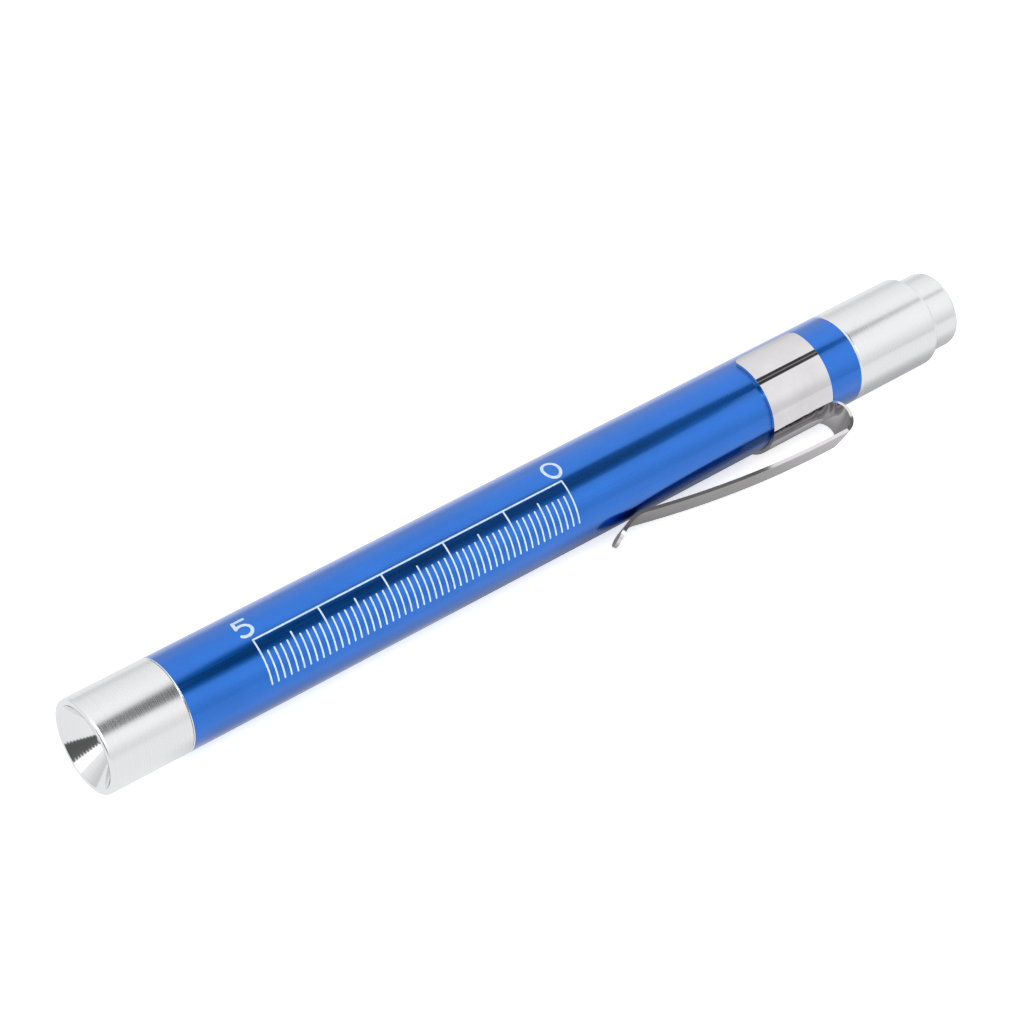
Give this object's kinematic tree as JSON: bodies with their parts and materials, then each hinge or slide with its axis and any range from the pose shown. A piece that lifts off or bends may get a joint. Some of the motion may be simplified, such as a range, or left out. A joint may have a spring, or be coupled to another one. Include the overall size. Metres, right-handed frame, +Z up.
{
  "type": "examination penlight",
  "caption": "Pocket examination penlight with a conical reflector, a printed centimetre ruler, a spring clip and a tail push button.",
  "frame": {"origin": "centre of the bounding box, on the ground that the pen lies on", "axes": "+X along the pen from the reflector head to the tail button, +Z up, the clip arm points to -Y and down"},
  "size_m": [0.1456, 0.0176, 0.0143],
  "materials": {
    "anodised_blue": "blue anodised, satin",
    "bare_aluminium": "turned and brushed, satin",
    "chromed_steel": "bright chrome plating",
    "spring_steel": "drawn wire and plain steel",
    "cell_can": "nickel-plated can",
    "brass": "stamped brass",
    "black_plastic": "moulded nylon",
    "white_plastic": "moulded acetal",
    "clear_epoxy": "clear cast epoxy",
    "cell_sleeve": "shrunk printed film"
  },
  "bodies": {
    "barrel": {"barrel_tube": "anodised_blue", "front_cell_can": "cell_can", "front_cell_sleeve": "cell_sleeve", "front_cell_seal": "black_plastic", "front_cell_negative_cap": "spring_steel", "rear_cell_can": "cell_can", "rear_cell_sleeve": "cell_sleeve", "rear_cell_seal": "black_plastic", "rear_cell_negative_cap": "spring_steel"},
    "lamp": {"led_lens": "clear_epoxy", "led_anode_lead": "spring_steel", "led_cathode_lead": "spring_steel", "lamp_holder": "white_plastic", "lamp_contact": "brass", "ground_ring": "brass"},
    "head": {"head_shell": "bare_aluminium"},
    "switch": {"switch_housing": "white_plastic", "spring_plate": "brass", "battery_spring": "spring_steel"},
    "cap": {"tail_cap": "bare_aluminium", "return_spring": "spring_steel"},
    "button": {"button": "bare_aluminium", "button_stem": "spring_steel", "stem_clip": "spring_steel", "click_cam": "white_plastic", "contact_plunger": "brass"},
    "rotor": {"ratchet_rotor": "black_plastic"},
    "clip": {"clip_band": "chromed_steel"},
    "clip_arm": {"clip_arm": "chromed_steel"}
  },
  "joints": [
    {"name": "head_travel", "type": "slide", "parent": "barrel", "child": "lamp", "axis": [-1, 0, 0], "range_m": [0, 0.004]},
    {"name": "head_unscrew", "type": "hinge", "parent": "lamp", "child": "head", "pos_m": [-0.0607, 0.00201, 0.00715], "axis": [-1, 0, 0], "range_deg": [0, 1440]},
    {"name": "cap_travel", "type": "slide", "parent": "barrel", "child": "switch", "axis": [1, 0, 0], "range_m": [0, 0.004]},
    {"name": "cap_unscrew", "type": "hinge", "parent": "switch", "child": "cap", "pos_m": [0.0528, 0.00201, 0.00715], "axis": [1, 0, 0], "range_deg": [0, 1440]},
    {"name": "button_press", "type": "slide", "parent": "cap", "child": "button", "axis": [-1, 0, 0], "range_m": [0, 0.002], "stiffness_N_per_m": 800, "springref_m": -0.002, "deforming": ["return_spring"]},
    {"name": "rotor_turn", "type": "hinge", "parent": "button", "child": "rotor", "pos_m": [0.052, 0.00201, 0.00715], "axis": [1, 0, 0], "range_deg": [0, 45]},
    {"name": "clip_turn", "type": "hinge", "parent": "barrel", "child": "clip", "pos_m": [0.0411, 0.00201, 0.00715], "axis": [1, 0, 0], "continuous": true},
    {"name": "clip_flex", "type": "hinge", "parent": "clip", "child": "clip_arm", "pos_m": [0.0466, -0.00745, 0.00244], "axis": [0, -0.4462, 0.8949], "range_deg": [0, 6], "stiffness_Nm_per_rad": 0.6, "springref_deg": -2.86}
  ],
  "couplings": [
    {"joint": "head_travel", "follows": "head_unscrew", "m_per_rad": 0.00015915},
    {"joint": "cap_travel", "follows": "cap_unscrew", "m_per_rad": 0.00015915},
    {"joint": "rotor_turn", "follows": "button_press", "rad_per_m": 392.7}
  ]
}
